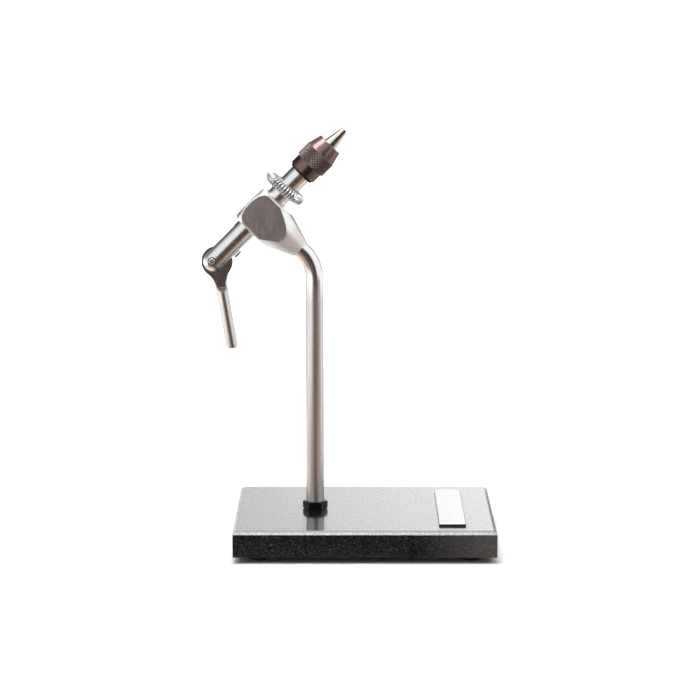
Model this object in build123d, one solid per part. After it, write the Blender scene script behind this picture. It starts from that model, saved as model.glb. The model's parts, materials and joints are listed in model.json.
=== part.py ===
from build123d import *
import os
from math import cos, pi, radians, sin, sqrt, tan

# Pedestal fly tying vise. X runs along the base, Y away from the viewer and Z up.
# The origin is on the table under the middle of the base. Lengths are in millimetres, angles in degrees.

# Base plate, feet and name plate
base_length = 139.7
base_depth = 101.6
base_thickness = 14.3
base_chamfer = 1.9
foot_diameter = 12.7
foot_height = 3.5
foot_inset = 13.35
foot_edge = 0.8
plate_width = 14.3
plate_length = 76.2
plate_thickness = 1.4
plate_edge = 0.3
plate_inset = 16.1
plate_shift = -1.5

# Bent stem and the nut that locks it
stem_diameter = 9.525
stem_x = -26.9
thread_diameter = 7.94
thread_reach = 12.0
thread_tip = 0.8
nut_across_flats = 11.7
nut_height = 4.4
bend_radius = 21.0
leg_rise = 41.0
stem_socket = 14.0

# Head block: a milled bar, turned to a cone where it meets the stem
head_reach = 29.0
head_height = 179.4
barrel_rise = 45.0
block_width = 21.6
block_shift = 1.2
block_thickness = 19.05
block_end_wall = 2.4
block_end_round = 5.6
block_rim = 0.5
block_corner_trim = 0.5
neck_drop = 28.3
neck_wall = 0.5
neck_angle = 21.3

# Bushes, drag screw and stem screw inside the block
bush_wall = 0.6
bush_length = 6.5
bush_recess = 0.3
screw_diameter = 5.0
screw_socket = 2.5
screw_socket_depth = 1.2
screw_recess = 0.3
drag_tip_length = 1.4
stem_screw_rise = 10.5

# Rotary barrel
barrel_diameter = 12.0
rear_reach = 35.8
thread_length = 8.4
barrel_front_edge = 0.4
drag_groove_depth = 0.5
lever_slot_length = 22.0
slot_clearance = 0.2
front_bore_diameter = 8.2

# Cam lever and the pin it swings on
lever_pin_diameter = 4.0
lever_pin_rise = 0.8
lever_pin_sink = 0.2
pin_countersink = 0.45
cam_radius = 8.54
cam_offset = 2.65
cam_angle = 60.0
lever_thickness = 4.2
lever_diameter = 6.35
lever_length = 47.8
lever_angle = 54.4
lever_neck_radius = 12.0
lever_end_round = 1.2
lever_flat_reach = 12.5
lever_cutter_radius = 10.0
lever_swing = 90.0

# Follower, push rod and its return spring
cam_gap = 0.05
follower_length = 4.2
follower_stand_out = 1.15
follower_back_sink = 1.0
follower_edge = 0.4
spigot_depth = 2.8
spigot_diameter = 2.6
push_rod_diameter = 5.0
return_wire = 0.6
return_coil_diameter = 4.2
return_turns = 6.5

# Jaw carrier and the two jaw halves
carrier_rear_length = 4.0
pocket_depth = 7.0
pocket_width = 5.8
pocket_height = 3.9
hinge_pin_diameter = 1.2
jaw_shank_diameter = 7.2
jaw_shank_length = 10.7
jaw_head_rim = 1.5
jaw_reach = 10.9
jaw_nose_diameter = 7.7
jaw_tip_diameter = 3.5
jaw_parting = 0.03
hook_groove_diameter = 0.7
hook_groove_setback = 2.2
spreader_wire = 0.35
spreader_coil_diameter = 2.2
spreader_turns = 4.5
spreader_length = 4.2

# Clamping sleeve and the ring behind it
sleeve_gap = 20.0
sleeve_length = 21.2
sleeve_wall = 2.05
knurl_start = 5.5
knurl_length = 8.9
knurl_height = 0.9
knurl_edge = 0.45
sleeve_cone_step = 0.35
sleeve_nose_wall = 3.0
ring_section = 1.2

# Material spring round the barrel
spring_seat = 7.3
spring_wire = 0.75
spring_coil_diameter = 5.1
spring_turns = 30
spring_slack = 0.5
spring_tilt = 5.0
spring_end_gap = 2.2

# Clearances
press_gap = 0.01
running_gap = 0.05
thread_gap = 0.05
seat_gap = 0.1
taper_gap = 0.05
travel_gap = 0.5

# Heights on the stand
base_top = foot_height + base_thickness
shoulder_z = base_top + nut_height
stem_radius = stem_diameter / 2
thread_radius = thread_diameter / 2

# Stations along the barrel, measured forward from the middle of the head block
barrel_radius = barrel_diameter / 2
bush_radius = barrel_radius + running_gap + bush_wall
block_cap = bush_radius + press_gap + block_end_wall
block_front = block_shift + block_width / 2
pin_x = -rear_reach
slot_width = lever_thickness + 2 * slot_clearance
slot_front = pin_x + lever_slot_length
lever_lift = cam_offset * cos(radians(cam_angle)) - cam_offset * cos(radians(cam_angle + lever_swing))
follower_rear = pin_x + cam_radius + cam_offset * cos(radians(cam_angle)) + cam_gap
follower_front = follower_rear + follower_length
sleeve_rear = block_front + sleeve_gap
sleeve_front = sleeve_rear + sleeve_length
barrel_front = sleeve_rear + thread_length
jaw_tip_x = sleeve_front + jaw_reach
jaw_shoulder = barrel_front + lever_lift + travel_gap
jaw_slope = (jaw_nose_diameter - jaw_tip_diameter) / 2 / jaw_reach
taper_rear = jaw_shoulder + jaw_head_rim
spring_x = block_front + spring_seat
carrier_front = barrel_front - jaw_shank_length
carrier_rear = carrier_front - pocket_depth - carrier_rear_length
hinge_x = carrier_front - pocket_depth / 2
tail_thickness = pocket_width / 2 - seat_gap - jaw_parting
hinge_pin_offset = jaw_parting + tail_thickness / 2
front_bore_rear = carrier_rear - lever_lift - travel_gap
rod_shoulder = slot_front + lever_lift + travel_gap
spreader_x = (barrel_front + carrier_front) / 2

head_frame = Plane(
    origin=(stem_x - head_reach, 0, head_height),
    x_dir=(cos(radians(barrel_rise)), 0, sin(radians(barrel_rise))),
    z_dir=(-sin(radians(barrel_rise)), 0, cos(radians(barrel_rise))),
)
leg_tilt = 90 - barrel_rise - leg_rise
leg_way = Vector(sin(radians(leg_tilt)), 0, -cos(radians(leg_tilt)))


def rod(start, end, radius):
    """A round bar from one point to another."""
    way = Vector(end) - Vector(start)
    ends = (Align.CENTER, Align.CENTER, Align.MIN)
    return Plane(origin=start, z_dir=way) * Cylinder(radius, way.length, align=ends)


def turned(*outline):
    """A piece turned about X from its half outline."""
    return revolve(make_face(Polyline(*outline, close=True)), Axis.X)


def upright(*outline):
    """A piece turned about Z from its half outline of radii and heights."""
    profile = Plane.XZ * make_face(Polyline(*outline, close=True))
    return revolve(profile, Axis.Z)


def biarc(start, start_way, end, end_way):
    """Two arcs that leave and arrive along the given ways and meet tangentially."""
    chord = end - start
    ways = start_way + end_way
    bend = 2 * (start_way.dot(end_way) - 1)
    along = chord.dot(ways)
    reach = (along - sqrt(along**2 - bend * chord.dot(chord))) / bend
    first = start + start_way * reach
    last = end - end_way * reach
    knot = (first + last) * 0.5
    first_arc = Edge.make_tangent_arc(start, start_way, knot)
    last_arc = Edge.make_tangent_arc(knot, last - first, end)
    return [first_arc, last_arc]


def wound(name, centre_line, turns, wire):
    """One unbroken wire wound along centre_line(turn), in biarcs of half a turn."""
    nudge = 1e-4
    count = round(2 * turns)
    stops = [turns * i / count for i in range(count + 1)]
    points = [centre_line(stop) for stop in stops]
    ways = [(centre_line(stop + nudge) - centre_line(stop - nudge)).normalized() for stop in stops]
    arcs = []
    for i in range(count):
        arcs += biarc(points[i], ways[i], points[i + 1], ways[i + 1])
    section = Plane(origin=points[0], z_dir=ways[0]) * Circle(wire / 2)
    print(name, "least gap to itself", round(least_gap(centre_line, turns, wire), 3), "mm")
    return sweep(section, path=Wire(arcs))


def least_gap(centre_line, turns, wire):
    """The least gap between stretches of the wire over half a turn apart."""
    steps = 24
    points = [centre_line(i / steps) for i in range(round(turns * steps) + 1)]
    pairs = [
        (first, second)
        for i, first in enumerate(points)
        for second in points[i + steps // 2 + 1 : i + 2 * steps]
    ]
    return min((first - second).length for first, second in pairs) - wire


def helix(start, way, side, coil_radius, pitch):
    """The centre line of a straight coil spring along way."""
    up = way.cross(side)

    def centre_line(turn):
        angle = 2 * pi * turn
        return start + way * (pitch * turn) + (side * cos(angle) + up * sin(angle)) * coil_radius

    return centre_line


def make_base_plate():
    """Steel plate with a chamfered top edge and a tapped hole for the stem."""
    plate = Pos(0, 0, foot_height + base_thickness / 2) * Box(base_length, base_depth, base_thickness)
    plate = chamfer(plate.faces().sort_by(Axis.Z)[-1].edges(), base_chamfer)
    hole = rod((stem_x, 0, base_top - thread_reach), (stem_x, 0, base_top + 1), thread_radius + thread_gap)
    return plate - hole


def make_foot(side_x, side_y):
    """Rubber foot under one corner of the base."""
    foot_x = side_x * (base_length / 2 - foot_inset)
    foot_y = side_y * (base_depth / 2 - foot_inset)
    radius = foot_diameter / 2
    foot = rod((foot_x, foot_y, 0), (foot_x, foot_y, foot_height), radius)
    return fillet(foot.edges().sort_by(Axis.Z)[0], foot_edge)


def make_name_plate():
    """Bare metal plate lying across the right side of the base."""
    plate_x = base_length / 2 - plate_inset - plate_width / 2
    plate_z = base_top + plate_thickness / 2
    plate = Pos(plate_x, plate_shift, plate_z) * Box(plate_width, plate_length, plate_thickness)
    return chamfer(plate.faces().sort_by(Axis.Z)[-1].edges(), plate_edge)


def make_stem_nut():
    """Hexagon nut with both ends chamfered to a circle."""
    flat_radius = nut_across_flats / 2
    corner_radius = flat_radius / cos(pi / 6)
    bevel = (corner_radius - flat_radius) * tan(pi / 6)
    hexagon = extrude(RegularPolygon(flat_radius, 6, major_radius=False), nut_height)
    turning = upright(
        (0, 0),
        (flat_radius, 0),
        (corner_radius, bevel),
        (corner_radius, nut_height - bevel),
        (flat_radius, nut_height),
        (0, nut_height),
    )
    bore = Cylinder(thread_radius + thread_gap, 3 * nut_height)
    return Pos(stem_x, 0, base_top) * ((hexagon & turning) - bore)


def make_stem():
    """Round bar, threaded at the foot and bent towards the head."""
    leg = Vector(-cos(radians(leg_rise)), 0, sin(radians(leg_rise)))
    corner = Vector(stem_x, 0, head_height - head_reach * tan(radians(leg_rise)))
    tangent = bend_radius * tan(radians(90 - leg_rise) / 2)
    bend_start = corner - Vector(0, 0, tangent)
    bend_end = corner + leg * tangent
    top = corner + leg * (head_reach / cos(radians(leg_rise)) - neck_drop + stem_socket)
    foot = Vector(stem_x, 0, shoulder_z)
    upright_run = Edge.make_line(foot, bend_start)
    bend = Edge.make_tangent_arc(bend_start, Vector(0, 0, 1), bend_end)
    leg_run = Edge.make_line(bend_end, top)
    bar = sweep(Pos(foot) * Circle(stem_radius), path=Wire([upright_run, bend, leg_run]))
    thread_foot = base_top - thread_reach + seat_gap
    thread = rod((stem_x, 0, thread_foot), foot, thread_radius)
    thread = chamfer(thread.edges().sort_by(Axis.Z)[0], thread_tip)
    return bar + thread


def screw_spot(rise):
    """The place on the stem leg that lies rise above the small end of the block's cone."""
    return leg_way * (neck_drop - rise)


def make_head_block():
    """Milled block with a turned neck, bored for the barrel and for the stem."""
    bar = Box(block_width, block_thickness, 2 * neck_drop)
    corner = sqrt(block_width**2 + block_thickness**2) / 2
    end_turning = Cylinder(corner - block_corner_trim, 2 * neck_drop)
    end_turning = fillet(end_turning.edges().sort_by(Axis.Z)[-1], block_end_round)
    block = bar & end_turning
    flats = block.faces().filter_by(Plane.XZ)
    block = Pos(block_shift, 0, block_cap - neck_drop) * chamfer(flats.edges(), block_rim)
    neck_radius = stem_radius + neck_wall
    cone_length = neck_drop + block_width
    cone_radius = neck_radius + cone_length * tan(radians(neck_angle))
    cone = upright((0, 0), (neck_radius, 0), (cone_radius, cone_length), (0, cone_length))
    cone = Plane(origin=leg_way * neck_drop, z_dir=-leg_way) * cone
    block = block & cone
    bore = rod((-block_width, 0, 0), (block_width, 0, 0), bush_radius + press_gap)
    socket = rod(leg_way * (neck_drop + 1), screw_spot(stem_socket), stem_radius + press_gap)
    tapped_radius = screw_diameter / 2 + thread_gap
    drag_hole = rod((0, 0, 0), (0, block_thickness, 0), tapped_radius)
    spot = screw_spot(stem_screw_rise)
    stem_hole = rod(spot, spot + Vector(0, block_thickness, 0), tapped_radius)
    return head_frame * (block - bore - socket - drag_hole - stem_hole)


def make_bush(side):
    """Thin bronze bush at one end of the barrel bore."""
    outer = block_shift + side * (block_width / 2 - bush_recess)
    inner = outer - side * bush_length
    tube = rod((inner, 0, 0), (outer, 0, 0), bush_radius)
    return head_frame * (tube - rod((inner - side, 0, 0), (outer + side, 0, 0), barrel_radius + running_gap))


def set_screw(start_y, spot):
    """Socket set screw from start_y to just under the far flat of the block."""
    end_y = block_thickness / 2 - screw_recess
    screw = rod(spot + Vector(0, start_y, 0), spot + Vector(0, end_y, 0), screw_diameter / 2)
    key = RegularPolygon(screw_socket / 2, 6, major_radius=False)
    key_plane = Plane(origin=spot + Vector(0, end_y, 0), z_dir=(0, -1, 0))
    socket = extrude(key_plane * key, screw_socket_depth)
    return head_frame * (screw - socket)


def groove_radius():
    """Radius at the bottom of the barrel's drag groove."""
    return barrel_radius - drag_groove_depth


def make_drag_tip():
    """Nylon tip that rides in the barrel's groove under the drag screw."""
    start = groove_radius() + running_gap
    return head_frame * rod((0, start, 0), (0, start + drag_tip_length, 0), screw_diameter / 2)


def make_drag_screw():
    """Set screw that presses the nylon tip."""
    return set_screw(groove_radius() + running_gap + drag_tip_length, Vector(0, 0, 0))


def make_stem_screw():
    """Set screw that holds the stem in the block."""
    return set_screw(stem_radius + running_gap, screw_spot(stem_screw_rise))


def make_barrel():
    """Round barrel with a ball end, slotted for the lever and bored for the rod and jaws."""
    front_edge = barrel_radius - barrel_front_edge
    body = turned(
        (pin_x, 0),
        (pin_x, barrel_radius),
        (barrel_front - barrel_front_edge, barrel_radius),
        (barrel_front, front_edge),
        (barrel_front, 0),
    )
    body += Pos(pin_x, 0, 0) * Sphere(barrel_radius)
    slot_length = lever_slot_length + 2 * barrel_radius
    slot = Box(slot_length, slot_width, 3 * barrel_radius)
    rod_bore = rod((slot_front - 1, 0, 0), (barrel_front, 0, 0), push_rod_diameter / 2 + running_gap)
    jaw_bore = rod((front_bore_rear, 0, 0), (barrel_front + 1, 0, 0), front_bore_diameter / 2)
    half_groove = screw_diameter / 2 + seat_gap
    groove = turned(
        (-half_groove, groove_radius()),
        (half_groove, groove_radius()),
        (half_groove, 2 * barrel_radius),
        (-half_groove, 2 * barrel_radius),
    )
    ear = Vector(0, barrel_diameter, 0)
    pin = Vector(pin_x, 0, lever_pin_rise)
    pin_hole = rod(pin - ear, pin + ear, lever_pin_diameter / 2 + press_gap)
    barrel = body - Pos(slot_front - slot_length / 2, 0, 0) * slot - rod_bore - jaw_bore - groove - pin_hole
    for side in (-1, 1):
        sink_end = pin + Vector(0, side * (pin_end() - pin_countersink), 0)
        barrel -= rod(sink_end, pin + ear * side, lever_pin_diameter / 2 + pin_countersink)
    return head_frame * barrel


def pin_end():
    """Distance of the lever pin's ends from the middle of the barrel."""
    return barrel_radius - lever_pin_sink


def make_lever_pin():
    """Solid pin across the barrel's ears."""
    near_end = (pin_x, -pin_end(), lever_pin_rise)
    far_end = (pin_x, pin_end(), lever_pin_rise)
    pin = rod(near_end, far_end, lever_pin_diameter / 2)
    return head_frame * chamfer(pin.edges().filter_by(GeomType.CIRCLE), lever_pin_sink)


def make_cam_lever():
    """Ball-ended lever: turned about its handle, then milled flat each side of the cam."""
    rod_radius = lever_diameter / 2
    neck_x = sqrt((cam_radius + lever_neck_radius) ** 2 - (rod_radius + lever_neck_radius) ** 2)
    share = cam_radius / (cam_radius + lever_neck_radius)
    ball_end = (neck_x * share, (rod_radius + lever_neck_radius) * share)
    round_start = lever_length - lever_end_round
    outline = [
        ThreePointArc((-cam_radius, 0), (0, cam_radius), ball_end),
        RadiusArc(ball_end, (neck_x, rod_radius), -lever_neck_radius),
        Line((neck_x, rod_radius), (round_start, rod_radius)),
        RadiusArc((round_start, rod_radius), (lever_length, rod_radius - lever_end_round), lever_end_round),
        Line((lever_length, rod_radius - lever_end_round), (lever_length, 0)),
        Line((lever_length, 0), (-cam_radius, 0)),
    ]
    lever = revolve(make_face(outline), Axis.X)
    half = lever_thickness / 2
    rise = rod_radius - half
    ramp = sqrt(lever_cutter_radius**2 - (lever_cutter_radius - rise) ** 2)
    ramp_end = lever_flat_reach + ramp
    cut = make_face(
        [
            Line((-2 * cam_radius, half), (lever_flat_reach, half)),
            RadiusArc((lever_flat_reach, half), (ramp_end, rod_radius), -lever_cutter_radius),
            Line((ramp_end, rod_radius), (ramp_end, 2 * cam_radius)),
            Line((ramp_end, 2 * cam_radius), (-2 * cam_radius, 2 * cam_radius)),
            Line((-2 * cam_radius, 2 * cam_radius), (-2 * cam_radius, half)),
        ]
    )
    milling = extrude(cut, 2 * cam_radius, both=True)
    lever = lever - milling - mirror(milling, Plane.XZ)
    lever = cam_frame() * lever
    near_end = (pin_x, -cam_radius, lever_pin_rise)
    far_end = (pin_x, cam_radius, lever_pin_rise)
    hole = rod(near_end, far_end, lever_pin_diameter / 2 + running_gap)
    return head_frame * (lever - hole)


def cam_frame():
    """Frame at the middle of the cam, with X along the handle."""
    offset = radians(-cam_angle)
    middle = (pin_x + cam_offset * cos(offset), 0, lever_pin_rise + cam_offset * sin(offset))
    handle = radians(180 + lever_angle)
    way = (cos(handle), 0, sin(handle))
    side = (-sin(handle), 0, cos(handle))
    return Plane(origin=middle, x_dir=way, z_dir=side)


def make_cam_follower():
    """Key in the lever slot that the cam pushes, standing out under the barrel."""
    low = -barrel_radius - follower_stand_out
    high = barrel_radius - follower_back_sink
    middle = Pos((follower_rear + follower_front) / 2, 0, (low + high) / 2)
    key = Box(follower_length, lever_thickness, high - low)
    key = middle * chamfer(key.faces().sort_by(Axis.Z)[0].edges(), follower_edge)
    hole_end = follower_front - spigot_depth
    hole = rod((hole_end, 0, 0), (follower_front + 1, 0, 0), spigot_diameter / 2 + press_gap)
    return head_frame * (key - hole)


def make_push_rod():
    """Rod from the follower to the jaw carrier, stepped for the return spring."""
    spigot = spigot_diameter / 2
    tip = follower_front - spigot_depth + seat_gap
    seat = carrier_rear + carrier_rear_length - seat_gap
    return head_frame * turned(
        (tip, 0),
        (tip, spigot),
        (rod_shoulder, spigot),
        (rod_shoulder, push_rod_diameter / 2),
        (carrier_rear, push_rod_diameter / 2),
        (carrier_rear, spigot),
        (seat, spigot),
        (seat, 0),
    )


def make_return_spring():
    """Spring in the lever slot that draws the rod and jaws back."""
    room = slot_front - follower_front - return_wire - 2 * seat_gap
    start = Vector(follower_front + return_wire / 2 + seat_gap, 0, 0)
    coil_radius = (return_coil_diameter - return_wire) / 2
    line = helix(start, Vector(1, 0, 0), Vector(0, 0, 1), coil_radius, room / return_turns)
    return head_frame * wound("return_spring", line, return_turns, return_wire)


def make_jaw_carrier():
    """Sliding plug with a pocket for the tails of the jaws."""
    plug = rod((carrier_rear, 0, 0), (carrier_front, 0, 0), front_bore_diameter / 2 - running_gap)
    pocket = Pos(carrier_front - pocket_depth / 2, 0, 0) * Box(pocket_depth, pocket_width, pocket_height)
    seat = rod((carrier_rear - 1, 0, 0), (carrier_front, 0, 0), spigot_diameter / 2 + press_gap)
    plug = plug - pocket - seat
    for side in (-1, 1):
        plug -= hinge_bar(side, front_bore_diameter, hinge_pin_diameter / 2 + press_gap)
    return head_frame * plug


def hinge_bar(side, length, radius):
    """A bar on the hinge axis of one jaw half."""
    middle = Vector(hinge_x, side * hinge_pin_offset, 0)
    half = Vector(0, 0, length / 2)
    return rod(middle - half, middle + half, radius)


def make_hinge_pin(side):
    """Pin through the carrier that one jaw half swings on."""
    plug_radius = front_bore_diameter / 2 - running_gap
    chord = 2 * sqrt(plug_radius**2 - (hinge_pin_offset + hinge_pin_diameter / 2) ** 2)
    return head_frame * hinge_bar(side, chord, hinge_pin_diameter / 2)


def jaw_radius(x):
    """Radius of the closed jaws' cone at station x."""
    return jaw_tip_diameter / 2 + (jaw_tip_x - x) * jaw_slope


def make_jaw(side):
    """One half of the cone-nosed jaws, with its hinged tail and hook groove."""
    shank = jaw_shank_diameter / 2
    shank_rear = carrier_front + seat_gap
    head = jaw_radius(taper_rear)
    jaws = turned(
        (shank_rear, 0),
        (shank_rear, shank),
        (jaw_shoulder, shank),
        (jaw_shoulder, head),
        (taper_rear, head),
        (jaw_tip_x, jaw_tip_diameter / 2),
        (jaw_tip_x, 0),
    )
    tail_height = pocket_height - 2 * seat_gap
    tail_length = shank_rear + jaw_parting - hinge_x
    tail_middle = Pos(hinge_x + tail_length / 2, side * hinge_pin_offset, 0)
    tail = tail_middle * Box(tail_length, tail_thickness, tail_height)
    knuckle = hinge_bar(side, tail_height, tail_thickness / 2)
    half_room = jaw_tip_x - hinge_x
    half = Box(4 * half_room, half_room, half_room)
    half = Pos(hinge_x, side * (jaw_parting + half_room / 2), 0) * half
    jaw = (jaws & half) + tail + knuckle
    jaw -= hinge_bar(side, pocket_height, hinge_pin_diameter / 2 + running_gap)
    spreader_room = spreader_length / 2 + seat_gap
    spreader_hole = Vector(spreader_x, 0, 0)
    hole_end = spreader_hole + Vector(0, side * spreader_room, 0)
    jaw -= rod(spreader_hole, hole_end, spreader_coil_diameter / 2 + 2 * seat_gap)
    groove_x = jaw_tip_x - hook_groove_setback
    groove_reach = Vector(0, 0, jaw_nose_diameter)
    groove_middle = Vector(groove_x, 0, 0)
    jaw -= rod(groove_middle - groove_reach, groove_middle + groove_reach, hook_groove_diameter / 2)
    return head_frame * jaw


def make_spreader_spring():
    """Small spring that pushes the jaw halves apart."""
    run = spreader_length - spreader_wire
    start = Vector(spreader_x, -run / 2, 0)
    coil_radius = (spreader_coil_diameter - spreader_wire) / 2
    line = helix(start, Vector(0, 1, 0), Vector(1, 0, 0), coil_radius, run / spreader_turns)
    return head_frame * wound("jaw_spreader_spring", line, spreader_turns, spreader_wire)


def make_collet_sleeve():
    """Screwed sleeve with a raised grip band and a cone nose that closes the jaws."""
    bore = barrel_radius + thread_gap
    rear = bore + sleeve_wall
    grip = rear + knurl_height
    grip_start = sleeve_rear + knurl_start
    grip_end = grip_start + knurl_length
    mouth = jaw_radius(sleeve_front) + taper_gap
    throat = jaw_radius(taper_rear) + taper_gap
    return head_frame * turned(
        (sleeve_rear, bore),
        (sleeve_rear, rear),
        (grip_start, rear),
        (grip_start + knurl_edge, grip),
        (grip_end - knurl_edge, grip),
        (grip_end, grip - sleeve_cone_step),
        (sleeve_front, mouth + sleeve_nose_wall),
        (sleeve_front, mouth),
        (taper_rear, throat),
        (taper_rear, bore),
    )


def make_sleeve_ring():
    """Rubber ring on the barrel behind the sleeve."""
    middle = sleeve_rear - ring_section / 2 - running_gap
    section = Pos(middle, barrel_radius + running_gap + ring_section / 2) * Circle(ring_section / 2)
    return head_frame * revolve(section, Axis.X)


def make_material_spring():
    """Coil spring laid in a ring round the barrel, its ends hooked below."""
    coil_radius = (spring_coil_diameter - spring_wire) / 2
    ring_radius = barrel_radius + seat_gap + spring_slack + spring_wire / 2 + coil_radius
    sweep_angle = 2 * pi - spring_end_gap / ring_radius
    tilt = radians(spring_tilt)

    def centre_line(turn):
        around = -pi / 2 + (2 * pi - sweep_angle) / 2 + sweep_angle * turn / spring_turns
        coil = 2 * pi * turn
        out = ring_radius + coil_radius * cos(coil)
        along = coil_radius * sin(coil)
        side = out * cos(around)
        up = out * sin(around)
        tilted_along = along * cos(tilt) - up * sin(tilt)
        tilted_up = along * sin(tilt) + up * cos(tilt)
        return Vector(spring_x + tilted_along, side, spring_slack + tilted_up)

    return head_frame * wound("material_spring", centre_line, spring_turns, spring_wire)


pieces = {
    "base_plate": make_base_plate(),
    "foot_front_left": make_foot(-1, -1),
    "foot_front_right": make_foot(1, -1),
    "foot_rear_left": make_foot(-1, 1),
    "foot_rear_right": make_foot(1, 1),
    "name_plate": make_name_plate(),
    "stem_nut": make_stem_nut(),
    "stem": make_stem(),
    "head_block": make_head_block(),
    "rear_bush": make_bush(-1),
    "front_bush": make_bush(1),
    "drag_tip": make_drag_tip(),
    "drag_screw": make_drag_screw(),
    "stem_screw": make_stem_screw(),
    "barrel": make_barrel(),
    "lever_pin": make_lever_pin(),
    "cam_lever": make_cam_lever(),
    "cam_follower": make_cam_follower(),
    "push_rod": make_push_rod(),
    "return_spring": make_return_spring(),
    "jaw_carrier": make_jaw_carrier(),
    "hinge_pin_near": make_hinge_pin(-1),
    "hinge_pin_far": make_hinge_pin(1),
    "jaw_near": make_jaw(-1),
    "jaw_far": make_jaw(1),
    "jaw_spreader_spring": make_spreader_spring(),
    "collet_sleeve": make_collet_sleeve(),
    "sleeve_ring": make_sleeve_ring(),
    "material_spring": make_material_spring(),
}

os.makedirs("parts", exist_ok=True)
for name, piece in pieces.items():
    export_step(piece, f"parts/{name}.step")
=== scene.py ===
import json
import bpy
import numpy as np
from math import cos, pi, radians, sin
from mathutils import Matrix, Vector


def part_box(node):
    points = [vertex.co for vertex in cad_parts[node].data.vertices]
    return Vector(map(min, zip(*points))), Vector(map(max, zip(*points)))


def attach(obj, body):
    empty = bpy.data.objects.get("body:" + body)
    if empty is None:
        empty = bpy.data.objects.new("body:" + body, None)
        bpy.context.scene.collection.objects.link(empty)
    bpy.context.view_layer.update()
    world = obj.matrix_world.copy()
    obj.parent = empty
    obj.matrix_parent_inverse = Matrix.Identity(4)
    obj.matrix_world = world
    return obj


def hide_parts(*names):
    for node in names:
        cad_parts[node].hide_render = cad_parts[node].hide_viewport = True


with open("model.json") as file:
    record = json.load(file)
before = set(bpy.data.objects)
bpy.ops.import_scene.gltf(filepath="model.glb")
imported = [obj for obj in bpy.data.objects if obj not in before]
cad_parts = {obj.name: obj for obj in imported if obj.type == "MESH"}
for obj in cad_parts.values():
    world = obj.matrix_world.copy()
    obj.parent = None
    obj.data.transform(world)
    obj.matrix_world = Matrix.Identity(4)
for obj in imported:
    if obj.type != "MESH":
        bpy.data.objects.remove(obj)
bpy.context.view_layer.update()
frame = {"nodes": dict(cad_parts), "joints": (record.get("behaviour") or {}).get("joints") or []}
nodes = frame["nodes"]


# Base plate: a thick steel slab with a broken top edge, coated in black wrinkle powder paint.
# The paint cures into fine leathery folds, which take a grazing shine from the bright room behind. Their crests
# carry a painted highlight, brighter on the sides than on the top, and painted glints speck the lower broken edge.
coat_black = (0.0012, 0.0012, 0.0013, 1)
painted_top_crest = (0.03, 0.03, 0.0305, 1)
painted_side_crest = (0.06, 0.06, 0.061, 1)
painted_edge_glint = (0.52, 0.52, 0.535, 1)
edge_level = 0.0159
edge_width = 0.0004
edge_top = 0.0175
edge_foot = 0.0166
side_width = 0.0003
wrinkle_pitch = 0.0013
wrinkle_stretch = (0.55, 1, 1)
wrinkle_twist = 0.5
wrinkle_line = 0.04
wrinkle_depth = 0.0002
sparkle_pitch = 0.0007
sparkle_start = 0.15
sparkle_end = 0.7
hollow_rough = 0.3
crest_rough = 0.16
hollow_gloss = 0.85
crest_gloss = 1.0


def add_node(tree, kind, inputs=None, **settings):
    """A shader node with its settings, each input set to a value or linked to another node's socket."""
    node = tree.nodes.new(kind)
    for name, value in settings.items():
        setattr(node, name, value)
    for name, value in (inputs or {}).items():
        socket = node.inputs[name]
        if isinstance(value, bpy.types.NodeSocket):
            tree.links.new(value, socket)
        else:
            socket.default_value = value
    return node


def new_finish(name, **sockets):
    """A material with one Principled shader, and the plain values set on its sockets."""
    material = bpy.data.materials.new(name)
    material.use_nodes = True
    tree = material.node_tree
    shader = tree.nodes["Principled BSDF"]
    for label, value in sockets.items():
        shader.inputs[label.replace("_", " ")].default_value = value
    place = add_node(tree, "ShaderNodeTexCoord").outputs["Object"]
    return material, tree, shader, place


def feed(tree, shader, **sources):
    """Links other nodes' outputs to the named sockets of a shader."""
    for label, source in sources.items():
        tree.links.new(source, shader.inputs[label.replace("_", " ")])


def dress(material, *names):
    """Puts one finish on the named CAD nodes."""
    for name in names:
        nodes[name].data.materials.clear()
        nodes[name].data.materials.append(material)


def math_node(tree, operation, first, second=0.0, **settings):
    """The result of one sum on values or sockets."""
    return add_node(tree, "ShaderNodeMath", {0: first, 1: second}, operation=operation, **settings).outputs["Value"]


def ramp(tree, value, start, end, low=0.0, high=1.0):
    """A value that goes evenly from low to high while another goes from start to end, and is held beyond."""
    inputs = {"Value": value, "From Min": start, "From Max": end, "To Min": low, "To Max": high}
    return add_node(tree, "ShaderNodeMapRange", inputs).outputs["Result"]


def noise(tree, place, per_metre, detail=2.0, **more):
    """Soft random clouds of 0 to 1, so many to the metre, with layers of finer ones as detail."""
    inputs = {"Vector": place, "Scale": per_metre, "Detail": detail, **more}
    return add_node(tree, "ShaderNodeTexNoise", inputs).outputs["Fac"]


def blend(tree, mask, first, second):
    """A colour between two others, each fixed or from another node, by a mask of 0 to 1."""
    mix = add_node(tree, "ShaderNodeMix", {"Factor": mask, "A": first, "B": second}, data_type="RGBA")
    return next(socket for socket in mix.outputs if socket.type == "RGBA")


def relief(tree, shader, height, depth):
    """Bump of the given depth in metres, fed to the shader's normal."""
    bump = add_node(tree, "ShaderNodeBump", {"Height": height, "Distance": depth})
    feed(tree, shader, Normal=bump.outputs["Normal"])


def past_sides(tree, spot, corner):
    """How far a spot lies outside the upright sides of a box round the frame's middle, given by one corner: the
    larger of its X and its Y, without their signs and each less the corner's."""
    out_x = math_node(tree, "SUBTRACT", math_node(tree, "ABSOLUTE", spot["X"]), corner[0])
    out_y = math_node(tree, "SUBTRACT", math_node(tree, "ABSOLUTE", spot["Y"]), corner[1])
    return math_node(tree, "MAXIMUM", out_x, out_y)


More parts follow.
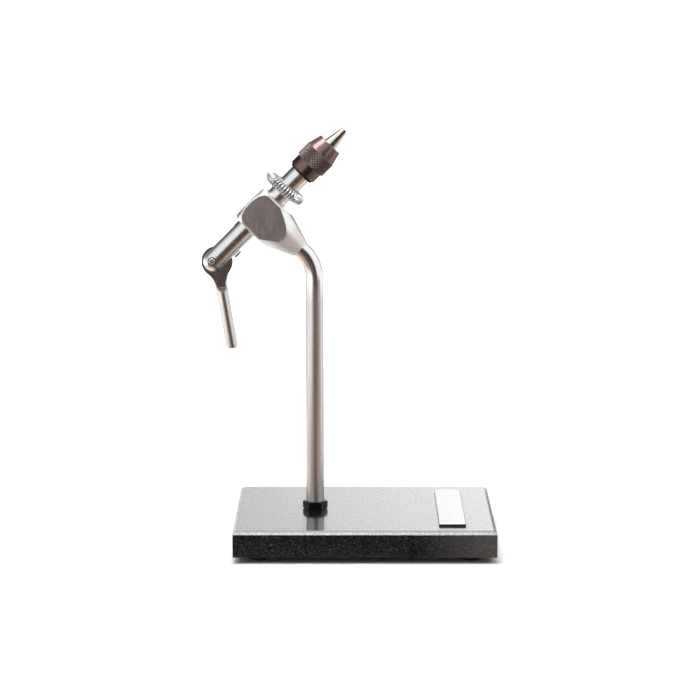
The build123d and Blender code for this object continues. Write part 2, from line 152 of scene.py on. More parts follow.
coat, tree, shader, place = new_finish(
    "black_wrinkle_coat", Specular_IOR_Level=0.12, Coat_Roughness=0.08, Coat_IOR=1.6,
)
stretched = add_node(tree, "ShaderNodeMapping", {"Vector": place, "Scale": wrinkle_stretch}).outputs["Vector"]
folds = noise(tree, stretched, 1 / wrinkle_pitch, detail=1.0, Distortion=wrinkle_twist)
from_fold = math_node(tree, "ABSOLUTE", math_node(tree, "SUBTRACT", folds, 0.5))
crest = ramp(tree, from_fold, 0.0, wrinkle_line, 1.0, 0.0)
low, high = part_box("base_plate")
spot = add_node(tree, "ShaderNodeSeparateXYZ", {"Vector": place}).outputs
out = past_sides(tree, spot, high)
side = ramp(tree, out, -side_width, 0.0)
rim = math_node(tree, "ADD", out, spot["Z"])
edge = ramp(tree, rim, edge_level - edge_width, edge_level)
foot = ramp(tree, spot["Z"], edge_foot, edge_top, 1.0, 0.0)
# Painted glints: pale specks on the lower part of the broken edge.
painted_sparkle = ramp(tree, noise(tree, place, 1 / sparkle_pitch, detail=1.0), sparkle_start, sparkle_end)
painted_glint = math_node(tree, "MULTIPLY", math_node(tree, "MULTIPLY", edge, foot), painted_sparkle)
# Painted highlight: the fold crests are paler than the black coat, more so on the sides than on the top.
plain = blend(tree, crest, coat_black, blend(tree, side, painted_top_crest, painted_side_crest))
feed(
    tree, shader,
    Base_Color=blend(tree, painted_glint, plain, painted_edge_glint),
    Roughness=ramp(tree, crest, 0.0, 1.0, hollow_rough, crest_rough),
    Coat_Weight=ramp(tree, crest, 0.0, 1.0, hollow_gloss, crest_gloss),
)
relief(tree, shader, crest, wrinkle_depth)
dress(coat, "base_plate")


# Feet: four round moulded rubber pads, stuck under the corners of the base.
# The rubber is matt black with a faint mould grain and a dusty bloom.
rubber_black = (0.012, 0.012, 0.012, 1)
rubber_bloom = (0.03, 0.029, 0.028, 1)
grains_per_metre = 2500.0
blooms_per_metre = 160.0
grain_depth = 0.00004
rubber, tree, shader, place = new_finish("moulded_rubber", Roughness=0.75)
feed(tree, shader, Base_Color=blend(tree, noise(tree, place, blooms_per_metre), rubber_black, rubber_bloom))
relief(tree, shader, noise(tree, place, grains_per_metre, detail=3.0), grain_depth)
dress(rubber, "foot_front_left", "foot_front_right", "foot_rear_left", "foot_rear_right")


# Name plate: a thin strip of aluminium, brushed along its length and left bare.
# It is stuck across the right side of the base, with its edges lightly broken.
clouds_per_metre = 90.0
streak_harshness = 0.6
no_turn = (0, 0, 0)


def new_group(name, inputs, outputs):
    """An empty shader group with named inputs, given with their usual values, and named outputs."""
    group = bpy.data.node_groups.new(name, "ShaderNodeTree")
    for label, kind, value in inputs:
        socket = group.interface.new_socket(label, in_out="INPUT", socket_type=kind)
        if value is not None:
            socket.default_value = value
    for label in outputs:
        group.interface.new_socket(label, in_out="OUTPUT", socket_type="NodeSocketFloat")
    entry = group.nodes.new("NodeGroupInput")
    leave = group.nodes.new("NodeGroupOutput")
    return group, entry.outputs, leave.inputs


metal_grain, enter, leave = new_group(
    "metal_grain",
    [
        ("Place", "NodeSocketVector", None),
        ("Turn", "NodeSocketVector", no_turn),
        ("Spread", "NodeSocketVector", (1, 1, 1)),
        ("Streaked", "NodeSocketFloat", 0.3),
    ],
    ["Streak", "Tone"],
)
turned_place = add_node(
    metal_grain, "ShaderNodeMapping",
    {"Vector": enter["Place"], "Rotation": enter["Turn"], "Scale": enter["Spread"]},
).outputs["Vector"]
streak = noise(metal_grain, turned_place, 1.0, detail=4.0, Roughness=streak_harshness)
cloud = noise(metal_grain, enter["Place"], clouds_per_metre, detail=3.0)
tone = add_node(metal_grain, "ShaderNodeMix", {"Factor": enter["Streaked"], "A": cloud, "B": streak})
metal_grain.links.new(streak, leave["Streak"])
metal_grain.links.new(tone.outputs["Result"], leave["Tone"])


def metal_finish(name, dark, pale, rough, turn, spread, depth, streaked=0.3, metallic=1.0):
    """A bare metal: streaks along the tool's path in its roughness and relief, and streaks and soft clouds in
    its colour. The spread is the number of streaks to the metre along each axis, after the turn."""
    material, tree, shader, place = new_finish(name, Metallic=metallic)
    inputs = {"Place": place, "Turn": turn, "Spread": spread, "Streaked": streaked}
    grain = add_node(tree, "ShaderNodeGroup", inputs, node_tree=metal_grain)
    feed(
        tree, shader,
        Base_Color=blend(tree, grain.outputs["Tone"], dark, pale),
        Roughness=ramp(tree, grain.outputs["Streak"], 0.0, 1.0, *rough),
    )
    relief(tree, shader, grain.outputs["Streak"], depth)
    return material


plate_metal = metal_finish(
    "brushed_plate", dark=(0.305, 0.305, 0.3, 1), pale=(0.375, 0.375, 0.366, 1), rough=(0.2, 0.34),
    turn=no_turn, spread=(6000, 60, 6000), depth=0.000004,
)
dress(plate_metal, "name_plate")


# Stem and its nut: a drawn stainless bar, bent near the top, screwed into the base and locked by a nut.
# The bar is brushed along its length, and shown smoother and brighter at the bend. The nut is blackened
# steel, oiled to a soft gloss.
bend_start = 0.132
bend_end = 0.146
bend_bright = (0.83, 0.82, 0.825, 1)
bend_rough = 0.2
oxide_black = (0.001, 0.001, 0.001, 1)
oxide_grey = (0.004, 0.004, 0.004, 1)
oxide_smooth = 0.18
oxide_rough = 0.4
oxide_depth = 0.00001
mottles_per_metre = 700.0
world_up = (0, 0, 1)
world_middle = (0, 0, 0)


def finish_parts(material):
    """The node tree, the Principled shader and the Object coordinates of a finish."""
    tree = material.node_tree
    place = next(node for node in tree.nodes if node.type == "TEX_COORD").outputs["Object"]
    return tree, tree.nodes["Principled BSDF"], place


def reach_along(tree, place, way, origin):
    """How far a place lies from an origin along a unit direction: its dot product, less the origin's."""
    reach = add_node(tree, "ShaderNodeVectorMath", {0: place, 1: tuple(way)}, operation="DOT_PRODUCT")
    return math_node(tree, "SUBTRACT", reach.outputs["Value"], float(np.dot(origin, way)))


def fade_colour(tree, shader, mask, colour):
    """Takes a finish's colour over to another by a mask of 0 to 1."""
    bare = shader.inputs["Base Color"].links[0].from_socket
    feed(tree, shader, Base_Color=blend(tree, mask, bare, colour))


def fade_finish(tree, shader, mask, colour, rough, metallic=None):
    """Takes a metal's colour, roughness and, where given, metallic value over to others by a mask of 0 to 1."""
    fade_colour(tree, shader, mask, colour)
    streaks = shader.inputs["Roughness"].links[0].from_socket
    mixed = add_node(tree, "ShaderNodeMix", {"Factor": mask, "A": streaks, "B": rough})
    feed(tree, shader, Roughness=mixed.outputs["Result"])
    if metallic is not None:
        bare = shader.inputs["Metallic"].default_value
        feed(tree, shader, Metallic=ramp(tree, mask, 0.0, 1.0, bare, metallic))


stem_metal = metal_finish(
    "drawn_stainless", dark=(0.6, 0.555, 0.535, 1), pale=(0.74, 0.695, 0.67, 1), rough=(0.24, 0.36),
    turn=no_turn, spread=(3000, 3000, 30), depth=0.000004, streaked=0.7, metallic=0.88,
)
tree, shader, place = finish_parts(stem_metal)
bend = ramp(tree, reach_along(tree, place, world_up, world_middle), bend_start, bend_end)
fade_finish(tree, shader, bend, bend_bright, bend_rough, metallic=1.0)
dress(stem_metal, "stem")
oxide, tree, shader, place = new_finish("black_oxide", Specular_IOR_Level=0.35)
mottle = noise(tree, place, mottles_per_metre, detail=4.0)
feed(
    tree, shader,
    Base_Color=blend(tree, mottle, oxide_black, oxide_grey),
    Roughness=ramp(tree, mottle, 0.0, 1.0, oxide_smooth, oxide_rough),
)
relief(tree, shader, mottle, oxide_depth)
dress(oxide, "stem_nut")


# Head block: an aluminium bar, milled flat on two sides, with its neck turned to a cone on the stem.
# A painted highlight lightens the edges round the flats, and the neck is paler and duller. Its two thin bushes are
# sintered bronze, its screws are blackened, and the drag screw's tip is nylon.
head = next(joint for joint in frame["joints"] if joint["name"] == "head_rotation")
head_middle = np.array(head["pos_m"])
barrel_tilt = (0, radians(45), 0)
neck_lean = radians(49)
neck_way = (sin(neck_lean), 0, -cos(neck_lean))
neck_start = 0.016
neck_end = 0.02
neck_colour = (0.84, 0.785, 0.755, 1)
neck_rough = 0.4
neck_metallic = 0.5
painted_rim_highlight = (0.86, 0.855, 0.86, 1)
flat_margin = 0.0001
flat_fade = 0.0003
nylon_dark = (0.75, 0.74, 0.7, 1)
nylon_pale = (0.85, 0.84, 0.8, 1)
hazes_per_metre = 900.0
block_metal = metal_finish(
    "milled_block", dark=(0.5, 0.44, 0.425, 1), pale=(0.92, 0.86, 0.845, 1), rough=(0.24, 0.44),
    turn=(0, radians(-20), 0), spread=(1300, 1300, 220), depth=0.00002, streaked=0.9,
)
tree, shader, place = finish_parts(block_metal)
low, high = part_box("head_block")
depth = math_node(tree, "ABSOLUTE", add_node(tree, "ShaderNodeSeparateXYZ", {"Vector": place}).outputs["Y"])
# Painted highlight: everything off the two flats, the rims round them first, takes a paler colour.
fade_colour(tree, shader, ramp(tree, depth, high[1] - flat_margin, high[1] - flat_fade), painted_rim_highlight)
neck = ramp(tree, reach_along(tree, place, neck_way, head_middle), neck_start, neck_end)
fade_finish(tree, shader, neck, neck_colour, neck_rough, neck_metallic)
dress(block_metal, "head_block")
bush_metal = metal_finish(
    "sintered_bronze", dark=(0.42, 0.27, 0.15, 1), pale=(0.58, 0.4, 0.24, 1), rough=(0.3, 0.45),
    turn=barrel_tilt, spread=(900, 900, 900), depth=0.00001,
)
dress(bush_metal, "rear_bush", "front_bush")
dress(oxide, "drag_screw", "stem_screw")
nylon, tree, shader, place = new_finish("nylon", Subsurface_Weight=0.1)
feed(tree, shader, Base_Color=blend(tree, noise(tree, place, hazes_per_metre), nylon_dark, nylon_pale))
dress(nylon, "drag_tip")


# Barrel and its cross pin: a hardened steel tube with a ball end, ground and polished round its axis.
# The pin is pressed through its ears and sits in shallow countersinks, with a painted shade round its heads.
along = np.array(head["axis"]) / np.linalg.norm(head["axis"])
across = np.array([0.0, 1.0, 0.0])
upward = np.cross(along, across)
pin_x = -0.0358
pin_rise = 0.0008
pin_face = 0.0013
pin_crown = 0.0018
pin_rim = 0.0023
pin_end = 0.00588
pin_bevel = 0.0003
pin_sides = 48
pin_corner = 25
painted_rim_shade = (0.008, 0.008, 0.009, 1)


def at_head(x, y, z):
    """Points given along the barrel, across it and square to both, from the middle of the head, in metres."""
    return head_middle + np.multiply.outer(x, along) + np.multiply.outer(y, across) + np.multiply.outer(z, upward)


def grid_piece(name, points, material, closed_u=False, closed_v=True, sharp=None):
    """A mesh over a grid of points: rows u, columns v, joined round where closed, with flat caps on open tube ends.
    Corners sharper than the given angle in degrees stay sharp."""
    rows, columns = points.shape[:2]
    index = np.arange(rows * columns).reshape(rows, columns)
    u = np.arange(rows if closed_u else rows - 1)
    v = np.arange(columns if closed_v else columns - 1)
    u, v = np.meshgrid(u, v, indexing="ij")
    next_u, next_v = (u + 1) % rows, (v + 1) % columns
    faces = np.stack([index[u, v], index[u, next_v], index[next_u, next_v], index[next_u, v]], axis=-1)
    faces = faces.reshape(-1, 4).tolist()
    if closed_v and not closed_u:
        faces += [index[0][::-1].tolist(), index[-1].tolist()]
    mesh = bpy.data.meshes.new(name)
    mesh.from_pydata(points.reshape(-1, 3), [], faces)
    mesh.polygons.foreach_set("use_smooth", np.ones(len(faces), bool))
    if sharp:
        mesh.set_sharp_from_angle(angle=radians(sharp))
    mesh.materials.append(material)
    mesh.update()
    piece = bpy.data.objects.new(name, mesh)
    bpy.context.scene.collection.objects.link(piece)
    return piece


def mark_points(piece, name, values):
    """Writes a value on each point of a piece, for its finish to read by name."""
    marks = piece.data.attributes.new(name, "FLOAT", "POINT")
    marks.data.foreach_set("value", np.ravel(values).astype(float))


def marked(tree, name):
    """The value that a piece's points carry under a name."""
    return add_node(tree, "ShaderNodeAttribute", attribute_name=name).outputs["Fac"]


barrel_metal = metal_finish(
    "polished_barrel", dark=(0.77, 0.755, 0.75, 1), pale=(0.84, 0.825, 0.82, 1), rough=(0.2, 0.28),
    turn=barrel_tilt, spread=(5000, 60, 60), depth=0.000002,
)
dress(barrel_metal, "barrel")
pin_metal = metal_finish(
    "ground_pin", dark=(0.5, 0.49, 0.48, 1), pale=(0.66, 0.65, 0.64, 1), rough=(0.3, 0.45),
    turn=no_turn, spread=(2500, 400, 2500), depth=0.000004,
)
capped_pin = pin_metal.copy()
capped_pin.name = "pin_with_painted_shade"
tree, shader, place = finish_parts(capped_pin)
# Painted shade: a dark ring on each head, where it meets its countersink.
fade_colour(tree, shader, marked(tree, "shaded_rim"), painted_rim_shade)
angle = np.linspace(0, 2 * pi, pin_sides, endpoint=False)
station = pin_end - np.array([0, pin_bevel, pin_bevel, pin_bevel, 2 * pin_bevel])
station = np.concatenate([-station, station[::-1]])
radius = np.array([pin_face, pin_crown, pin_crown, pin_rim, pin_rim])
radius = np.concatenate([radius, radius[::-1]])
shaded_rim = np.array([0, 0, 1, 1, 1, 1, 1, 1, 0, 0])
points = at_head(
    pin_x + np.outer(radius, np.sin(angle)),
    np.outer(station, np.ones(pin_sides)),
    pin_rise + np.outer(radius, np.cos(angle)),
)
piece = grid_piece("bevelled_pin", points, capped_pin, sharp=pin_corner)
mark_points(piece, "shaded_rim", np.repeat(shaded_rim, pin_sides))
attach(piece, "rotary_head")
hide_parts("lever_pin")


# Cam lever: a ball-ended steel handle, turned in one piece, then milled flat both sides of its cam.
# The handle is polished and the flats keep fine cutter marks. Where the cutter ran out below them,
# a dull, dark point is a painted dark reflection.
lever_lean = radians(235.6)
lever_way = cos(lever_lean) * along + sin(lever_lean) * upward
lever_side = np.cross(lever_way, across)
disc_x = -0.034475
disc_rise = -0.001495
disc_middle = at_head(disc_x, 0.0, disc_rise)
handle_start = 0.0145
handle_end = 0.018
handle_bright = (0.72, 0.69, 0.68, 1)
handle_rough = 0.29
runout_start = 0.0139
runout_fade = 0.0005
runout_end = 0.0185
runout_slope = 0.62
runout_edge = 0.0004
runout_painted_reflection = (0.2, 0.172, 0.158, 1)
runout_rough = 0.6
lever_metal = metal_finish(
    "turned_lever", dark=(0.5, 0.46, 0.43, 1), pale=(0.6, 0.56, 0.53, 1), rough=(0.18, 0.28),
    turn=no_turn, spread=(3000, 3000, 120), depth=0.000004,
)
tree, shader, place = finish_parts(lever_metal)
down = reach_along(tree, place, lever_way, disc_middle)
aside = math_node(tree, "ABSOLUTE", reach_along(tree, place, lever_side, disc_middle))
fade_finish(tree, shader, ramp(tree, down, handle_start, handle_end), handle_bright, handle_rough)
half_width = math_node(tree, "MULTIPLY", math_node(tree, "SUBTRACT", runout_end, down), runout_slope)
inside = ramp(tree, math_node(tree, "SUBTRACT", half_width, aside), 0.0, runout_edge)
begun = ramp(tree, down, runout_start, runout_start + runout_fade)
fade_finish(tree, shader, math_node(tree, "MULTIPLY", inside, begun), runout_painted_reflection, runout_rough)
dress(lever_metal, "cam_lever")


# Push rod, follower and jaw carrier: plain turned steel pieces that slide inside the barrel.
# The follower is a white acetal key with a painted glow, so that it shows pale in the shade of its slot, and a
# painted shade darkens its lower edge. The return spring behind it is bright round wire.
barrel_radius = 0.006
follower_drop = 0.00115
follower_foot = barrel_radius + follower_drop
follower_edge = 0.0008
follower_fade = 0.00016
follower_painted_shade = (0.02, 0.02, 0.022, 1)
follower_dull = (0.82, 0.82, 0.81, 1)
follower_white = (0.92, 0.92, 0.91, 1)
no_glow = (0, 0, 0, 1)
scuffs_per_metre = 800.0
wire_sides = 12
return_wire = 0.0006
return_coil = 0.0036
return_length = 0.0072
return_turns = 6.5
rod_metal = metal_finish(
    "turned_steel", dark=(0.5, 0.49, 0.48, 1), pale=(0.62, 0.61, 0.6, 1), rough=(0.18, 0.32),
    turn=barrel_tilt, spread=(4000, 80, 80), depth=0.000004,
)
dress(rod_metal, "push_rod", "jaw_carrier")
# Painted light: the key glows faintly, though it is no lamp.
acetal, tree, shader, place = new_finish("acetal_follower", Roughness=0.5, Emission_Strength=0.4)
# Painted shade: the lowest strip of the key is darkened.
painted_shade_level = follower_edge - follower_foot
above_painted_shade = ramp(tree, reach_along(tree, place, upward, head_middle), painted_shade_level, painted_shade_level + follower_fade)
scuffed = blend(tree, noise(tree, place, scuffs_per_metre, detail=3.0), follower_dull, follower_white)
feed(
    tree, shader,
    Base_Color=blend(tree, above_painted_shade, follower_painted_shade, scuffed),
    Emission_Color=blend(tree, above_painted_shade, no_glow, scuffed),
)
dress(acetal, "cam_follower")


def wire_grid(path, core, wire):
    """A round wire: at each point of the path, a circle square to the path, turned so that it faces away from
    the core."""
    way = np.gradient(path, axis=0)
    way /= np.linalg.norm(way, axis=1, keepdims=True)
    out = path - core
    out -= way * np.sum(out * way, axis=1, keepdims=True)
    out /= np.linalg.norm(out, axis=1, keepdims=True)
    side = np.cross(way, out)
    angle = np.linspace(0, 2 * pi, wire_sides, endpoint=False)
    ring = np.cos(angle)[None, :, None] * out[:, None] + np.sin(angle)[None, :, None] * side[:, None]
    return path[:, None] + ring * wire / 2


def straight_coil(middle, way, turns, length, coil, steps=32):
    """The path and core of a coil spring: a point circling a straight core at even pitch."""
    turn = np.linspace(0, turns, int(turns * steps) + 1)
    core = middle - way * length / 2 + np.multiply.outer(turn / turns * length, way)
    first = upward if abs(np.dot(way, upward)) < 0.5 else along
    second = np.cross(way, first)
    angle = 2 * pi * turn
    circle = np.multiply.outer(np.cos(angle), first) + np.multiply.outer(np.sin(angle), second)
    return core + circle * coil / 2, core


wire_metal = metal_finish(
    "bright_wire", dark=(0.72, 0.72, 0.73, 1), pale=(0.86, 0.86, 0.87, 1), rough=(0.16, 0.28),
    turn=barrel_tilt, spread=(900, 900, 900), depth=0.000003,
)
low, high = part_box("return_spring")
path, core = straight_coil(np.array((low + high) / 2), along, return_turns, return_length, return_coil)
piece = grid_piece("return_spring_wire", wire_grid(path, core, return_wire), wire_metal)
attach(piece, "rotary_head")
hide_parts("return_spring")


# Jaws: two hardened steel halves of a cone, turned together, parted and polished.
# They hinge on ground pins at their tails, and a small spring between them holds them open.
spreader_wire = 0.00035
spreader_coil = 0.00185
spreader_length = 0.00385
spreader_turns = 4.5
jaw_metal = metal_finish(
    "polished_jaws", dark=(0.6, 0.58, 0.56, 1), pale=(0.7, 0.68, 0.66, 1), rough=(0.08, 0.16),
    turn=barrel_tilt, spread=(5000, 60, 60), depth=0.000002,
)
dress(jaw_metal, "jaw_near", "jaw_far")
dress(pin_metal, "hinge_pin_near", "hinge_pin_far")
low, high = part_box("jaw_spreader_spring")
path, core = straight_coil(np.array((low + high) / 2), across, spreader_turns, spreader_length, spreader_coil)
piece = grid_piece("jaw_spreader_wire", wire_grid(path, core, spreader_wire), wire_metal)
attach(piece, "jaw_slide")
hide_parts("jaw_spreader_spring")


# Collet sleeve: turned from bronze and screwed on the front of the barrel, with a cone nose that closes the jaws.
# Its grip is a raised band, rolled with a diamond knurl of crossing grooves, worn pale at the tips.
# A black rubber ring sits behind it.
sleeve_rear = 0.032
sleeve_front = 0.0532
bore_radius = 0.00605
rear_radius = 0.0081
grip_radius = 0.009
grip_start = 0.0375
grip_end = 0.0464
grip_edge = 0.00045
grip_margin = 0.0001
cone_radius = 0.00865
nose_radius = 0.0069
mouth_radius = 0.0039
throat_radius = 0.00528
throat_x = 0.04602
edge_round = 0.0002
knurl_teeth = 44
knurl_depth = 0.0003
knurl_fade = 0.0002
knurl_flank = 0.8
samples_per_tooth = 14
band_rows = 90
sleeve_corner = 50
groove_painted_shade = (0.02, 0.017, 0.016, 1)
tip_pale = (0.27, 0.225, 0.215, 1)


def rounded(corners, radius, steps=4):
    """An outline whose corners are each replaced by a short curve: a quadratic between two points beside the
    corner, pulled towards it."""
    corners = np.array(corners)
    before, after = np.roll(corners, 1, axis=0), np.roll(corners, -1, axis=0)
    back, ahead = before - corners, after - corners
    reach_back = np.minimum(radius, np.linalg.norm(back, axis=1) / 3)[:, None]
    reach_ahead = np.minimum(radius, np.linalg.norm(ahead, axis=1) / 3)[:, None]
    start = corners + back / np.linalg.norm(back, axis=1, keepdims=True) * reach_back
    end = corners + ahead / np.linalg.norm(ahead, axis=1, keepdims=True) * reach_ahead
    t = np.linspace(0, 1, steps)[None, :, None]
    curve = (1 - t) ** 2 * start[:, None] + 2 * t * (1 - t) * corners[:, None] + t**2 * end[:, None]
    return curve.reshape(-1, 2)


def turned_grid(outline, columns):
    """A turned piece: each point of the outline, a station and a radius, carried round the barrel's axis."""
    angle = np.linspace(0, 2 * pi, columns, endpoint=False)
    station = np.repeat(outline[:, :1], columns, axis=1)
    return station, outline[:, 1:] * np.ones(columns), angle


def from_groove(phase):
    """Distance from the nearest groove of an evenly cut set: 0 in a groove and 1 half way between two."""
    return np.abs(2 * (phase - np.round(phase)))


outline = rounded([
    (sleeve_rear, bore_radius),
    (sleeve_rear, rear_radius),
    (grip_start, rear_radius),
    (grip_start + grip_edge, grip_radius),
    (grip_end - grip_edge, grip_radius),
    (grip_end, cone_radius),
    (sleeve_front, nose_radius),
    (sleeve_front, mouth_radius),
    (throat_x, throat_radius),
    (throat_x, bore_radius),
], edge_round)
past_start = outline[:, 0] > grip_start + grip_edge / 2
before_end = outline[:, 0] < grip_end
first, last = np.flatnonzero(past_start & before_end & (outline[:, 1] > grip_radius - grip_margin))[[0, -1]]
band_x = np.linspace(outline[first, 0], outline[last, 0], band_rows)
band = np.stack([band_x, np.full(band_rows, grip_radius)], axis=1)
outline = np.concatenate([outline[:first], band, outline[last + 1:]])
station, radius, angle = turned_grid(outline, knurl_teeth * samples_per_tooth)
turn = angle * knurl_teeth / (2 * pi)
climb = station * knurl_teeth / (2 * pi * grip_radius)
diamond = np.clip(np.minimum(from_groove(turn + climb), from_groove(turn - climb)) / knurl_flank, 0, 1)
from_ends = np.minimum(station - grip_start, grip_end - station) - grip_edge / 2
on_band = np.clip(from_ends / knurl_fade, 0, 1) * (radius > grip_radius - knurl_fade)
radius = radius - knurl_depth * on_band * (1 - diamond)
points = at_head(station, radius * np.cos(angle), radius * np.sin(angle))
sleeve_metal = metal_finish(
    "bronze_sleeve", dark=(0.16, 0.102, 0.094, 1), pale=(0.22, 0.142, 0.13, 1), rough=(0.22, 0.32),
    turn=barrel_tilt, spread=(4500, 50, 50), depth=0.000003,
)
tree, shader, place = finish_parts(sleeve_metal)
# Painted shade: the knurl's grooves are darkened.
fade_colour(tree, shader, marked(tree, "groove"), groove_painted_shade)
fade_colour(tree, shader, marked(tree, "worn_tip"), tip_pale)
piece = grid_piece("knurled_sleeve", points, sleeve_metal, closed_u=True, sharp=sleeve_corner)
mark_points(piece, "groove", on_band * (1 - diamond))
mark_points(piece, "worn_tip", on_band * diamond**2)
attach(piece, "sleeve")
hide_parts("collet_sleeve")
dress(rubber, "sleeve_ring")


# Material spring: a close-wound spring of bright wire laid in a ring round the barrel, to hold loose thread.
# Its two ends are bent to hooks that catch each other under the barrel.
spring_x = 0.0193
spring_wire = 0.0007
spring_thickness = 0.0056
spring_coil = spring_thickness - spring_wire
spring_slack = 0.00065
spring_clearance = 0.0001
spring_ring = barrel_radius + spring_clearance + spring_slack + spring_wire / 2 + spring_coil / 2
spring_turns = 40
steps_per_turn = 40
spring_gap = 0.0022
spring_tilt = radians(5)
hook_turn = 0.85
hook_ease = 0.4
hook_coil = 0.0034
hook_drop = 0.0016
inner_painted_shade = (0.32, 0.32, 0.33, 1)
lit_share = 0.6
turn_count = round((spring_turns + 2 * hook_turn) * steps_per_turn) + 1
turn = np.linspace(-hook_turn, spring_turns + hook_turn, turn_count)
wound = np.clip(turn, 0, spring_turns)
hooked = np.clip(np.abs(turn - wound) / hook_ease, 0, 1)
hooked = hooked**2 * (3 - 2 * hooked)
gap_angle = spring_gap / spring_ring
around = -pi / 2 + gap_angle / 2 + (2 * pi - gap_angle) * wound / spring_turns
around += np.sign(turn - wound) * hooked * gap_angle / 3
coil = spring_coil + (hook_coil - spring_coil) * hooked
middle = spring_ring + hook_drop * hooked
reach = middle + coil / 2 * np.cos(2 * pi * turn)
lean = coil / 2 * np.sin(2 * pi * turn)


def ring_points(lean, reach, around):
    """Points of the leaning ring: an offset along the barrel, a distance from its axis and an angle round it."""
    rise = reach * np.sin(around)
    station = spring_x + lean * cos(spring_tilt) - rise * sin(spring_tilt)
    lift = spring_slack + lean * sin(spring_tilt) + rise * cos(spring_tilt)
    return at_head(station, reach * np.cos(around), lift)


path = ring_points(lean, reach, around)
core = ring_points(0 * lean, middle, around)
coil_metal = wire_metal.copy()
coil_metal.name = "coil_wire"
tree, shader, place = finish_parts(coil_metal)
# Painted shade: the side of each turn nearest the barrel is darker.
fade_colour(tree, shader, marked(tree, "inner"), inner_painted_shade)
piece = grid_piece("material_spring_wire", wire_grid(path, core, spring_wire), coil_metal)
lit_part = np.clip(lit_share + np.cos(2 * pi * turn), 0, 1)
mark_points(piece, "inner", np.repeat(1 - lit_part, wire_sides))
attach(piece, "rotary_head")
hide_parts("material_spring")


# Studio: a pale floor that turns white away from the base, with soft lamps above, at the left and behind.
# Tinted boards lie and stand in front, at the sides and behind, where only bright surfaces mirror them.
floor_size = 40.0
floor_colour = (0.9, 0.9, 0.9, 1)
white_start = 0.12
white_end = 0.8
near_fill = 0.4
base_margin = 0.004
room_light = 0.3
room_white = 1.0
plain_white = (1, 1, 1, 1)


def seen_rays(tree):
    """Light Path's outputs, and a mask of the rays that see a surface: direct, mirrored or refracted."""
    rays = add_node(tree, "ShaderNodeLightPath").outputs
    seen = math_node(tree, "ADD", rays["Is Camera Ray"], rays["Is Glossy Ray"])
    return rays, math_node(tree, "ADD", seen, rays["Is Transmission Ray"], use_clamp=True)


floor_finish, tree, shader, place = new_finish(
    "pale_floor", Base_Color=floor_colour, Roughness=0.9, Specular_IOR_Level=0.0, Emission_Color=plain_white,
)
rays, seen = seen_rays(tree)
from_middle = add_node(tree, "ShaderNodeVectorMath", {0: place}, operation="LENGTH").outputs["Value"]
far_fill = math_node(tree, "MULTIPLY", seen, ramp(tree, from_middle, white_start, white_end))
fill = math_node(tree, "ADD", far_fill, math_node(tree, "MULTIPLY", rays["Is Camera Ray"], near_fill))
low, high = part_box("base_plate")
spot = add_node(tree, "ShaderNodeSeparateXYZ", {"Vector": place}).outputs
clear = ramp(tree, past_sides(tree, spot, high), -base_margin, base_margin)
feed(tree, shader, Emission_Strength=math_node(tree, "MULTIPLY", fill, clear))
corners = np.array([[[-1, -1, 0], [1, -1, 0]], [[-1, 1, 0], [1, 1, 0]]]) * floor_size / 2
floor = grid_piece("floor", corners, floor_finish, closed_v=False)

tan = (0.5, 0.31, 0.2, 1)
brown = (0.03, 0.026, 0.024, 1)
dark = (0.054, 0.04, 0.037, 1)
dim = (0.135, 0.097, 0.088, 1)
grey = (0.35, 0.34, 0.33, 1)
ash = (0.24, 0.235, 0.23, 1)
slate = (0.1, 0.1, 0.105, 1)
mauve = (0.16, 0.125, 0.14, 1)
black = (0.0, 0.0, 0.0, 1)
cool = (0.1, 0.1, 0.115, 1)
cloudy = (0.95, 0.95, 0.98, 1)
cream = (1.0, 0.93, 0.88, 1)
mild = (1.1, 1.1, 1.1, 1)
soft = (1.12, 1.12, 1.12, 1)
pale = (1.2, 1.2, 1.2, 1)
warm = (1.5, 1.36, 1.28, 1)
strong = (2.75, 2.75, 2.75, 1)
board_lift = 0.001


def board(name, corners, left, right):
    """A tinted board that only bright surfaces mirror, shaded evenly from its left edge to its right one."""
    finish = bpy.data.materials.new(name)
    finish.use_nodes = True
    tree = finish.node_tree
    tree.nodes.clear()
    shade = add_node(tree, "ShaderNodeAttribute", attribute_name="shade").outputs["Color"]
    light = add_node(tree, "ShaderNodeEmission", {"Color": shade, "Strength": 1.0})
    add_node(tree, "ShaderNodeOutputMaterial", {"Surface": light.outputs["Emission"]})
    piece = grid_piece(name, np.array(corners, float).reshape(2, 2, 3), finish, closed_v=False)
    shade = piece.data.attributes.new("shade", "FLOAT_COLOR", "POINT")
    shade.data.foreach_set("color", np.array([left, right, left, right], float).ravel())
    piece.visible_camera = piece.visible_diffuse = piece.visible_shadow = False
    piece.visible_transmission = False


def floor_board(name, corners, left, right):
    """A board lying just above the floor, by the X and Y of its left and right corners, one edge after the other."""
    board(name, [(x, y, board_lift) for x, y in corners], left, right)


def laid_board(name, x, y, left, right):
    """A board lying square on the floor, between two values of X and two of Y."""
    floor_board(name, [(x[0], y[0]), (x[1], y[0]), (x[0], y[1]), (x[1], y[1])], left, right)


def standing_board(name, start, end, height, left, right):
    """An upright board over the line from start to end, between two heights."""
    board(name, [(*foot, level) for level in height for foot in (start, end)], left, right)


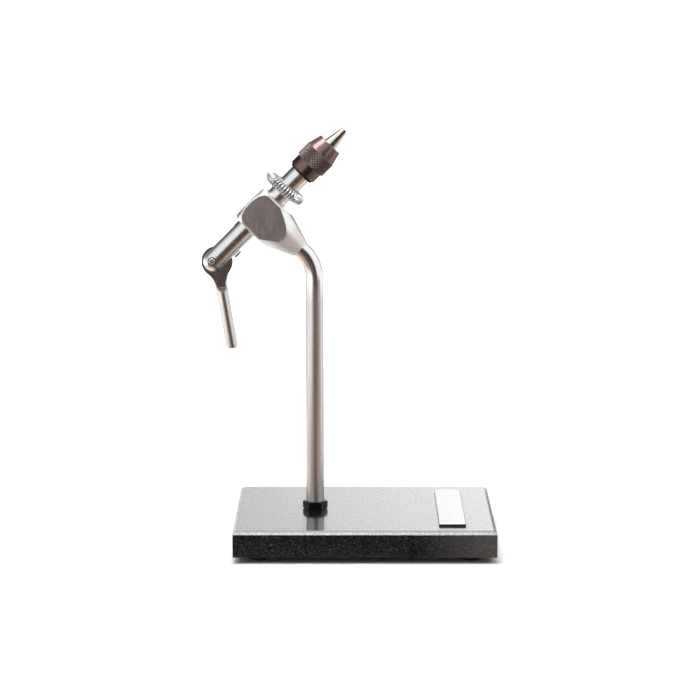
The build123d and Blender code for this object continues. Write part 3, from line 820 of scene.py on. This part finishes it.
floor_board("near_board", [(-0.1, -0.055), (-0.1, -0.15), (0.025, -0.055), (0.025, -0.15)], ash, black)
laid_board("left_tan", (-0.35, -0.1), (-0.055, -0.3), tan, tan)
laid_board("left_floor", (-0.32, -0.073), (0.2, -0.055), cream, cream)
laid_board("glint_board", (0.025, 0.08), (-0.055, -0.15), brown, warm)
laid_board("side_board", (0.08, 0.9), (-0.055, -0.15), tan, tan)
laid_board("brown_board", (-0.1, -0.03), (-0.15, -0.3), tan, brown)
laid_board("shaded_board", (-0.03, 0.12), (-0.15, -0.3), brown, tan)
laid_board("tan_board", (0.12, 0.9), (-0.15, -0.3), tan, tan)
laid_board("dark_board", (-0.35, 0.9), (-0.3, -0.7), dark, dark)
laid_board("far_board", (-0.5, 1.1), (-0.7, -1.5), dim, dim)
board("left_wall", [(-0.5, -1.5, 0.0), (0.0, -1.5, 0.0), (-0.5, -1.5, 0.32), (0.0, -1.5, 0.7)], dark, dark)
board("right_wall", [(0.0, -1.5, 0.0), (1.1, -1.5, 0.0), (0.0, -1.5, 0.75), (1.1, -1.5, 0.85)], dark, dark)
standing_board("shaded_side", (-1.25, -0.575), (-0.77, 0.24), (0.45, 1.2), cloudy, cool)
standing_board("grey_side", (-0.77, 0.24), (-0.5, 0.7), (0.3, 1.2), cool, cool)
board("white_panel", [(0.2, -1.0, 0.6), (-0.4, -0.95, 0.72), (0.3, -0.15, 1.2), (-0.8, -0.15, 1.15)], pale, pale)
floor_board("left_flag", [(-0.34, 0.2), (-0.2, 0.28), (-1.0, 0.85), (-0.6, 1.2)], dark, dark)
floor_board("right_flag", [(0.06, 0.17), (0.15, 0.12), (0.6, 1.2), (1.0, 0.85)], grey, grey)
standing_board("left_back", (-1.7, 1.5), (-0.42, 1.5), (0.0, 1.4), slate, slate)
standing_board("right_back", (0.42, 1.5), (1.7, 1.5), (0.0, 1.4), mauve, mauve)
standing_board("back_glow", (-0.35, 1.6), (0.35, 1.6), (0.0, 0.9), soft, strong)
standing_board("right_panel", (1.0, -0.9), (1.0, 0.9), (0.0, 1.2), mild, mild)


def softbox(name, place, target, width, depth, brightness, mirrored=True):
    """A soft lamp facing the target, given by the brightness of its face."""
    lamp = bpy.data.lights.new(name, "AREA")
    lamp.shape = "RECTANGLE"
    lamp.size = width
    lamp.size_y = depth
    lamp.energy = brightness * pi * width * depth
    piece = bpy.data.objects.new(name, lamp)
    piece.location = place
    piece.visible_camera = False
    piece.visible_glossy = mirrored
    piece.rotation_euler = (Vector(target) - Vector(place)).to_track_quat("-Z", "Y").to_euler()
    bpy.context.scene.collection.objects.link(piece)


softbox("top_lamp", place=(-0.15, -0.25, 1.0), target=(-0.15, -0.25, 0), width=0.6, depth=0.6, brightness=7.0)
softbox(
    "left_lamp", place=(-0.9, -0.7, 0.8), target=(-0.03, 0, 0.12), width=0.5, depth=0.5, brightness=1.4,
    mirrored=False,
)
softbox("back_lamp", place=(0.25, 1.7, 0.42), target=(0.0, 0, 0.03), width=2.2, depth=0.6, brightness=1.3)

world = bpy.data.worlds.new("white_room")
bpy.context.scene.world = world
world.use_nodes = True
tree = world.node_tree
sky = tree.nodes["Background"]
sky.inputs["Color"].default_value = plain_white
rays, seen = seen_rays(tree)
feed(tree, sky, Strength=ramp(tree, seen, 0.0, 1.0, room_light, room_white))


# Camera: a long lens in front of the vise, a little above it and looking slightly down,
# with the colours passed on as they are.
camera_place = (-0.0079, -1.2707, 0.3395)
camera_dip = radians(10.43)
lens = bpy.data.cameras.new("camera")
lens.sensor_width = 36.0
lens.lens = 122.91
lens.clip_end = 20.0
camera = bpy.data.objects.new("camera", lens)
camera.location = camera_place
camera.rotation_euler = (pi / 2 - camera_dip, 0, 0)
bpy.context.scene.collection.objects.link(camera)
bpy.context.scene.camera = camera
bpy.context.scene.view_settings.view_transform = "Standard"
